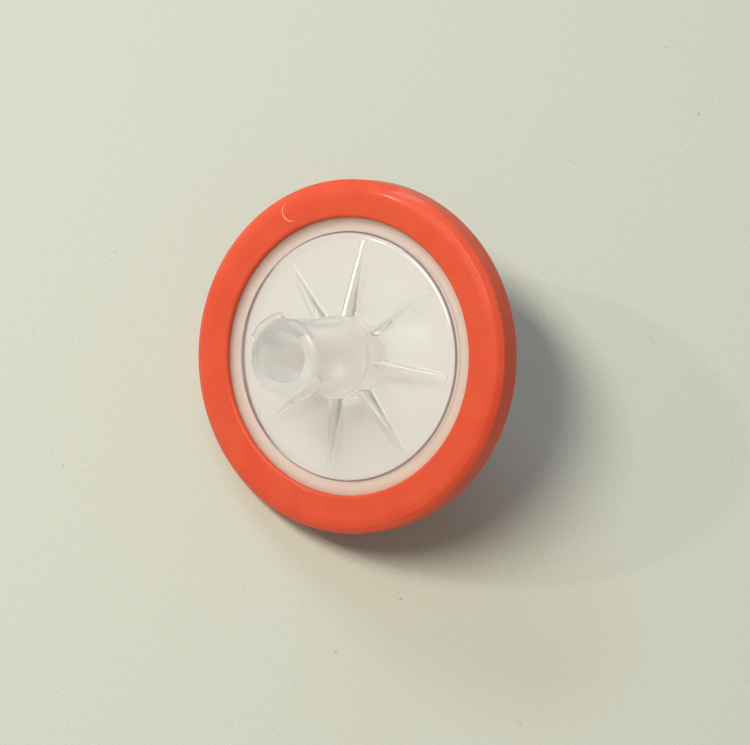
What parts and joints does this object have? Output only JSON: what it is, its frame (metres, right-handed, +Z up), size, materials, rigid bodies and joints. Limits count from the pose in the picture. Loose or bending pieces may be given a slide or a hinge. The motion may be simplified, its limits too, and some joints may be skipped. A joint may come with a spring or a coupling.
{
  "type": "syringe filter",
  "caption": "Disc syringe filter: clear finned housings clamp a membrane inside a coloured overmoulded ring, with a female lock inlet and a male taper outlet.",
  "frame": {"origin": "On the table, under the middle of the part's box, as it lies on its rim and its outlet nozzle", "axes": "+Z up from the table. The filter's axis leans 35.6 degrees from +Z towards -X, so the inlet hub points up and to -X and the outlet nozzle down and to +X. +Y lies across the disc, level with the table."},
  "size_m": [0.0264, 0.031, 0.0217],
  "materials": {
    "inlet_clear_plastic": "Natural translucent moulded plastic, glossy, with a faint milky haze.",
    "outlet_clear_plastic": "Natural translucent moulded plastic, glossy, with a faint milky haze.",
    "membrane_white": "Matt white microporous sheet.",
    "ring_orange_plastic": "Semi-gloss orange moulded plastic, slightly translucent at its thin edges."
  },
  "bodies": {
    "root": {"inlet_housing": "inlet_clear_plastic", "outlet_housing": "outlet_clear_plastic", "membrane": "membrane_white", "overmould_ring": "ring_orange_plastic"}
  },
  "joints": []
}
